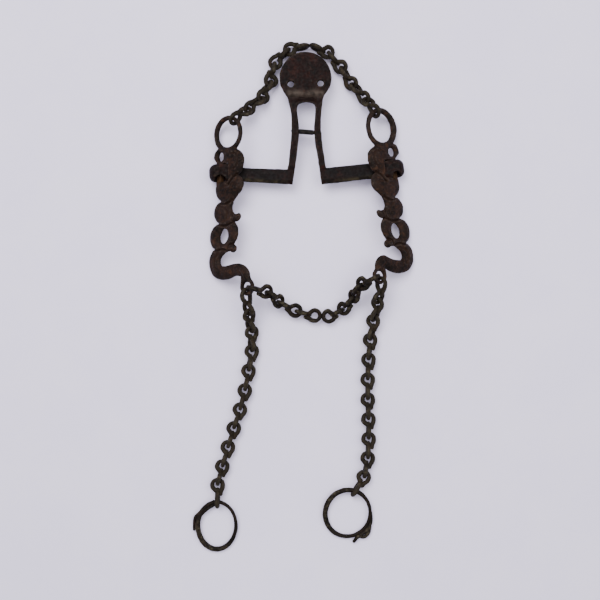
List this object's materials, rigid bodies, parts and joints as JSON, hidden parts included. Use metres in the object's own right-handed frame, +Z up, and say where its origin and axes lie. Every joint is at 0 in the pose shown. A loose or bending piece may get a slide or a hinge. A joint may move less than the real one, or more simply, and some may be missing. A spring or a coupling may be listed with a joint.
{
  "type": "curb bit",
  "caption": "Forged iron curb bit with a spade port, two loose pierced cheeks on rolled bar ends, jack chains under and over, and rein rings.",
  "frame": {"origin": "middle of the bottom face of the box round the bit as it lies flat", "axes": "+Y from the rein rings to the spade, +Z up from the surface it lies on, +X to the right"},
  "size_m": [0.1746, 0.4072, 0.0348],
  "materials": {
    "forged_iron": "old forged iron, brown patina with orange rust in the corners",
    "mouth_iron": "forged plate, red-brown rust, slightly polished by use",
    "wire_iron": "bent iron wire, dull olive brown"
  },
  "bodies": {
    "mouthpiece": {"mouthpiece": "mouth_iron", "cross_pin": "forged_iron"},
    "left_cheek": {"left_cheek": "forged_iron"},
    "right_cheek": {"right_cheek": "forged_iron"},
    "left_rein_link_01": {"left_rein_link_01": "wire_iron"},
    "left_rein_link_02": {"left_rein_link_02": "wire_iron"},
    "left_rein_link_03": {"left_rein_link_03": "wire_iron"},
    "left_rein_link_04": {"left_rein_link_04": "wire_iron"},
    "left_rein_link_05": {"left_rein_link_05": "wire_iron"},
    "left_rein_link_06": {"left_rein_link_06": "wire_iron"},
    "left_rein_link_07": {"left_rein_link_07": "wire_iron"},
    "left_rein_link_08": {"left_rein_link_08": "wire_iron"},
    "left_rein_link_09": {"left_rein_link_09": "wire_iron"},
    "left_rein_link_10": {"left_rein_link_10": "wire_iron"},
    "left_rein_link_11": {"left_rein_link_11": "wire_iron"},
    "right_rein_link_01": {"right_rein_link_01": "wire_iron"},
    "right_rein_link_02": {"right_rein_link_02": "wire_iron"},
    "right_rein_link_03": {"right_rein_link_03": "wire_iron"},
    "right_rein_link_04": {"right_rein_link_04": "wire_iron"},
    "right_rein_link_05": {"right_rein_link_05": "wire_iron"},
    "right_rein_link_06": {"right_rein_link_06": "wire_iron"},
    "right_rein_link_07": {"right_rein_link_07": "wire_iron"},
    "right_rein_link_08": {"right_rein_link_08": "wire_iron"},
    "right_rein_link_09": {"right_rein_link_09": "wire_iron"},
    "right_rein_link_10": {"right_rein_link_10": "wire_iron"},
    "right_rein_link_11": {"right_rein_link_11": "wire_iron"},
    "left_curb_link_01": {"left_curb_link_01": "wire_iron"},
    "left_curb_link_02": {"left_curb_link_02": "wire_iron"},
    "left_curb_link_03": {"left_curb_link_03": "wire_iron"},
    "left_curb_link_04": {"left_curb_link_04": "wire_iron"},
    "left_curb_link_05": {"left_curb_link_05": "wire_iron"},
    "left_curb_link_06": {"left_curb_link_06": "wire_iron"},
    "right_curb_link_01": {"right_curb_link_01": "wire_iron"},
    "right_curb_link_02": {"right_curb_link_02": "wire_iron"},
    "right_curb_link_03": {"right_curb_link_03": "wire_iron"},
    "right_curb_link_04": {"right_curb_link_04": "wire_iron"},
    "right_curb_link_05": {"right_curb_link_05": "wire_iron"},
    "left_shank_link_01": {"left_shank_link_01": "wire_iron"},
    "left_shank_link_02": {"left_shank_link_02": "wire_iron"},
    "left_shank_link_03": {"left_shank_link_03": "wire_iron"},
    "left_shank_link_04": {"left_shank_link_04": "wire_iron"},
    "right_shank_link_01": {"right_shank_link_01": "wire_iron"},
    "right_shank_link_02": {"right_shank_link_02": "wire_iron"},
    "right_shank_link_03": {"right_shank_link_03": "wire_iron"},
    "right_shank_link_04": {"right_shank_link_04": "wire_iron"},
    "left_rein_ring": {"left_rein_ring": "wire_iron"},
    "right_rein_ring": {"right_rein_ring": "wire_iron"}
  },
  "joints": [
    {"name": "left_cheek_swivel", "type": "hinge", "parent": "mouthpiece", "child": "left_cheek", "pos_m": [-0.06757, 0.09829, 0.00817], "axis": [0, -1, 0], "range_deg": [0, 52]},
    {"name": "right_cheek_swivel", "type": "hinge", "parent": "mouthpiece", "child": "right_cheek", "pos_m": [0.07014, 0.10169, 0.00817], "axis": [-0.1045, 0.9945, 0], "range_deg": [0, 52]},
    {"name": "left_rein_ring_hinge", "type": "hinge", "parent": "left_rein_link_11", "child": "left_rein_ring", "pos_m": [-0.06986, -0.16331, 0.00557], "axis": [0.9995, -0.0311, 0], "range_deg": [-40, 80]},
    {"name": "right_rein_ring_hinge", "type": "hinge", "parent": "right_rein_link_11", "child": "right_rein_ring", "pos_m": [0.03993, -0.15451, 0.00557], "axis": [0.9518, -0.3067, 0], "range_deg": [-40, 80]},
    {"name": "left_rein_link_01_hinge", "type": "hinge", "parent": "left_cheek", "child": "left_rein_link_01", "pos_m": [-0.04606, 0.00262, 0.02497], "axis": [0.7494, -0.309, 0.5855], "range_deg": [-12, 13]},
    {"name": "right_rein_link_01_hinge", "type": "hinge", "parent": "right_cheek", "child": "right_rein_link_01", "pos_m": [0.05941, 0.0113, 0.02278], "axis": [-0.7554, -0.3226, 0.5703], "range_deg": [-12, 13]},
    {"name": "left_curb_link_01_hinge", "type": "hinge", "parent": "left_cheek", "child": "left_curb_link_01", "pos_m": [-0.05547, 0.13969, 0.01762], "axis": [0.6824, -0.5, 0.5332], "range_deg": [0, 15]},
    {"name": "right_curb_link_01_hinge", "type": "hinge", "parent": "right_cheek", "child": "right_curb_link_01", "pos_m": [0.0553, 0.14285, 0.01577], "axis": [-0.7329, -0.3878, 0.559], "range_deg": [0, 15]},
    {"name": "left_shank_link_01_hinge", "type": "hinge", "parent": "left_cheek", "child": "left_shank_link_01", "pos_m": [-0.04043, 0.00674, 0.02937], "axis": [0.1638, 0.9781, 0.128], "range_deg": [0, 12]},
    {"name": "right_shank_link_01_hinge", "type": "hinge", "parent": "right_cheek", "child": "right_shank_link_01", "pos_m": [0.05352, 0.01494, 0.02676], "axis": [-0.2695, 0.9552, 0.1222], "range_deg": [0, 12]},
    {"name": "left_rein_link_02_hinge", "type": "hinge", "parent": "left_rein_link_01", "child": "left_rein_link_02", "pos_m": [-0.04385, -0.01322, 0.01613], "axis": [0.7425, -0.2446, 0.6236], "range_deg": [-32, 32]},
    {"name": "right_rein_link_02_hinge", "type": "hinge", "parent": "right_rein_link_01", "child": "right_rein_link_02", "pos_m": [0.05688, -0.00428, 0.01565], "axis": [0.7414, 0.1757, -0.6477], "range_deg": [-32, 32]},
    {"name": "left_curb_link_02_hinge", "type": "hinge", "parent": "left_curb_link_01", "child": "left_curb_link_02", "pos_m": [-0.04419, 0.14894, 0.0126], "axis": [0.6638, -0.5157, 0.5418], "range_deg": [0, 15]},
    {"name": "right_curb_link_02_hinge", "type": "hinge", "parent": "right_curb_link_01", "child": "right_curb_link_02", "pos_m": [0.04799, 0.15738, 0.01043], "axis": [-0.8295, -0.2301, 0.5088], "range_deg": [0, 15]},
    {"name": "left_shank_link_02_hinge", "type": "hinge", "parent": "left_shank_link_01", "child": "left_shank_link_02", "pos_m": [-0.02665, 0.00357, 0.01979], "axis": [0.2636, 0.9627, 0.0605], "range_deg": [0, 22]},
    {"name": "right_shank_link_02_hinge", "type": "hinge", "parent": "right_shank_link_01", "child": "right_shank_link_02", "pos_m": [0.04166, 0.0089, 0.01954], "axis": [-0.4605, 0.8875, 0.0136], "range_deg": [0, 22]},
    {"name": "left_rein_link_03_hinge", "type": "hinge", "parent": "left_rein_link_02", "child": "left_rein_link_03", "pos_m": [-0.04242, -0.0237, 0.00873], "axis": [-0.9071, -0.0752, 0.4141], "range_deg": [-30, 30]},
    {"name": "right_rein_link_03_hinge", "type": "hinge", "parent": "right_rein_link_02", "child": "right_rein_link_03", "pos_m": [0.05473, -0.01484, 0.00842], "axis": [-0.8993, 0.1909, -0.3934], "range_deg": [-30, 30]},
    {"name": "left_curb_link_03_hinge", "type": "hinge", "parent": "left_curb_link_02", "child": "left_curb_link_03", "pos_m": [-0.03531, 0.15569, 0.00778], "axis": [-0.7571, 0.4419, 0.4811], "range_deg": [0, 15]},
    {"name": "right_curb_link_03_hinge", "type": "hinge", "parent": "right_curb_link_02", "child": "right_curb_link_03", "pos_m": [0.03909, 0.16675, 0.00631], "axis": [-0.7428, -0.4786, -0.4682], "range_deg": [0, 15]},
    {"name": "left_shank_link_03_hinge", "type": "hinge", "parent": "left_shank_link_02", "child": "left_shank_link_03", "pos_m": [-0.02119, -0.00358, 0.01095], "axis": [-0.2616, 0.0558, -0.9636], "range_deg": [0, 22]},
    {"name": "right_shank_link_03_hinge", "type": "hinge", "parent": "right_shank_link_02", "child": "right_shank_link_03", "pos_m": [0.03905, 0.00026, 0.01169], "axis": [-0.3921, -0.0737, 0.917], "range_deg": [0, 22]},
    {"name": "left_rein_link_04_hinge", "type": "hinge", "parent": "left_rein_link_03", "child": "left_rein_link_04", "pos_m": [-0.04247, -0.04222, 0.00525], "axis": [-0.4209, 0.1688, -0.8913], "range_deg": [-32, 32]},
    {"name": "right_rein_link_04_hinge", "type": "hinge", "parent": "right_rein_link_03", "child": "right_rein_link_04", "pos_m": [0.0522, -0.03322, 0.00528], "axis": [-0.4161, -0.0972, 0.9041], "range_deg": [-32, 32]},
    {"name": "left_curb_link_04_hinge", "type": "hinge", "parent": "left_curb_link_03", "child": "left_curb_link_04", "pos_m": [-0.0273, 0.17205, 0.00534], "axis": [0.4869, -0.1092, 0.8666], "range_deg": [0, 15]},
    {"name": "right_curb_link_04_hinge", "type": "hinge", "parent": "right_curb_link_03", "child": "right_curb_link_04", "pos_m": [0.02902, 0.18318, 0.0055], "axis": [-0.4191, -0.213, 0.8826], "range_deg": [0, 15]},
    {"name": "left_shank_link_04_hinge", "type": "hinge", "parent": "left_shank_link_03", "child": "left_shank_link_04", "pos_m": [-0.00387, -0.01269, 0.00572], "axis": [0.4479, 0.8914, -0.07], "range_deg": [0, 22]},
    {"name": "right_shank_link_04_hinge", "type": "hinge", "parent": "right_shank_link_03", "child": "right_shank_link_04", "pos_m": [0.02803, -0.01193, 0.006], "axis": [-0.6669, 0.7094, -0.2282], "range_deg": [0, 22]},
    {"name": "left_rein_link_05_hinge", "type": "hinge", "parent": "left_rein_link_04", "child": "left_rein_link_05", "pos_m": [-0.0442, -0.05449, 0.00555], "axis": [0.9827, -0.1854, 0], "range_deg": [-30, 30]},
    {"name": "right_rein_link_05_hinge", "type": "hinge", "parent": "right_rein_link_04", "child": "right_rein_link_05", "pos_m": [0.05085, -0.04545, 0.00556], "axis": [0.9989, -0.0463, 0], "range_deg": [-30, 30]},
    {"name": "left_curb_link_05_hinge", "type": "hinge", "parent": "left_curb_link_04", "child": "left_curb_link_05", "pos_m": [-0.02679, 0.18408, 0.00597], "axis": [-0.6983, 0.7158, 0], "range_deg": [0, 15]},
    {"name": "right_curb_link_05_hinge", "type": "hinge", "parent": "right_curb_link_04", "child": "right_curb_link_05", "pos_m": [0.02195, 0.19377, 0.00595], "axis": [-0.3861, -0.9225, 0], "range_deg": [0, 15]},
    {"name": "left_rein_link_06_hinge", "type": "hinge", "parent": "left_rein_link_05", "child": "left_rein_link_06", "pos_m": [-0.04779, -0.07352, 0.00557], "axis": [0.0002, 0.001, 1], "range_deg": [-32, 32]},
    {"name": "right_rein_link_06_hinge", "type": "hinge", "parent": "right_rein_link_05", "child": "right_rein_link_06", "pos_m": [0.04995, -0.06485, 0.00557], "axis": [0, -0.0005, -1], "range_deg": [-32, 32]},
    {"name": "left_curb_link_06_hinge", "type": "hinge", "parent": "left_curb_link_05", "child": "left_curb_link_06", "pos_m": [-0.01281, 0.19772, 0.00553], "axis": [0.0161, 0.0157, 0.9997], "range_deg": [0, 15]},
    {"name": "left_rein_link_07_hinge", "type": "hinge", "parent": "left_rein_link_06", "child": "left_rein_link_07", "pos_m": [-0.05062, -0.08557, 0.00557], "axis": [-0.9503, 0.3113, 0], "range_deg": [-30, 30]},
    {"name": "right_rein_link_07_hinge", "type": "hinge", "parent": "right_rein_link_06", "child": "right_rein_link_07", "pos_m": [0.04993, -0.07726, 0.00557], "axis": [-0.9994, -0.0348, 0], "range_deg": [-30, 30]},
    {"name": "left_rein_link_08_hinge", "type": "hinge", "parent": "left_rein_link_07", "child": "left_rein_link_08", "pos_m": [-0.05661, -0.10387, 0.00557], "axis": [0, 0, -1], "range_deg": [-32, 32]},
    {"name": "right_rein_link_08_hinge", "type": "hinge", "parent": "right_rein_link_07", "child": "right_rein_link_08", "pos_m": [0.0506, -0.09645, 0.00557], "axis": [0, 0, 1], "range_deg": [-32, 32]},
    {"name": "left_rein_link_09_hinge", "type": "hinge", "parent": "left_rein_link_08", "child": "left_rein_link_09", "pos_m": [-0.0603, -0.11552, 0.00557], "axis": [0.9599, -0.2805, 0], "range_deg": [-30, 30]},
    {"name": "right_rein_link_09_hinge", "type": "hinge", "parent": "right_rein_link_08", "child": "right_rein_link_09", "pos_m": [0.05087, -0.10866, 0.00557], "axis": [0.9993, -0.037, 0], "range_deg": [-30, 30]},
    {"name": "left_rein_link_10_hinge", "type": "hinge", "parent": "left_rein_link_09", "child": "left_rein_link_10", "pos_m": [-0.06576, -0.13418, 0.00557], "axis": [0, 0, 1], "range_deg": [-32, 32]},
    {"name": "right_rein_link_10_hinge", "type": "hinge", "parent": "right_rein_link_09", "child": "right_rein_link_10", "pos_m": [0.05017, -0.12765, 0.00557], "axis": [0, 0, -1], "range_deg": [-32, 32]},
    {"name": "left_rein_link_11_hinge", "type": "hinge", "parent": "left_rein_link_10", "child": "left_rein_link_11", "pos_m": [-0.06976, -0.14549, 0.00557], "axis": [-1, 0.0056, 0], "range_deg": [-30, 30]},
    {"name": "right_rein_link_11_hinge", "type": "hinge", "parent": "right_rein_link_10", "child": "right_rein_link_11", "pos_m": [0.04913, -0.13993, 0.00557], "axis": [-0.8458, 0.5335, 0], "range_deg": [-30, 30]}
  ]
}
